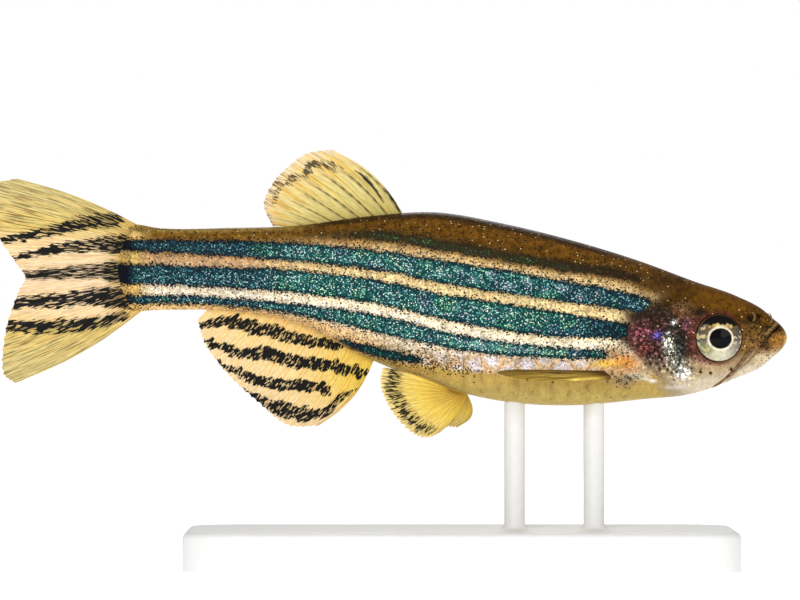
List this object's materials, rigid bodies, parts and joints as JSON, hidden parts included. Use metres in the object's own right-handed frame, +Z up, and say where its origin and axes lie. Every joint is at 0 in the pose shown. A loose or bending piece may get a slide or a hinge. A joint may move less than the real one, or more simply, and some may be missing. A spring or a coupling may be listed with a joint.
{
  "type": "zebra danio",
  "caption": "Still, life-size zebra danio with spread fins, swimming level and held over a plain flat stand by thin rods.",
  "frame": {"origin": "on the floor, under the middle of the fish's length, in the plane that parts its left side from its right", "axes": "+X towards the snout, +Z up towards the back, -Y out of the fish's right side"},
  "size_m": [0.0468, 0.016, 0.0245],
  "materials": {
    "head": "moist fish skin, golden brown above and silvery on the cheeks",
    "body": "moist scaled skin with long blue-green and cream-gold stripes",
    "eye": "wet eye with a silver and gold iris and a black pupil",
    "fin": "thin yellow and peach fins with grey-black bands, faintly see-through",
    "stand": "smooth pale grey"
  },
  "bodies": {
    "root": {"head": "head", "lower_jaw": "head", "torso": "body", "tail_stalk": "body", "eye_right": "eye", "eye_left": "eye", "dorsal_fin": "fin", "anal_fin": "fin", "caudal_fin": "fin", "pelvic_fin_right": "fin", "pelvic_fin_left": "fin", "pectoral_fin_right": "fin", "pectoral_fin_left": "fin", "stand_base": "stand", "stand_rod_front": "stand", "stand_rod_rear": "stand"}
  },
  "joints": []
}
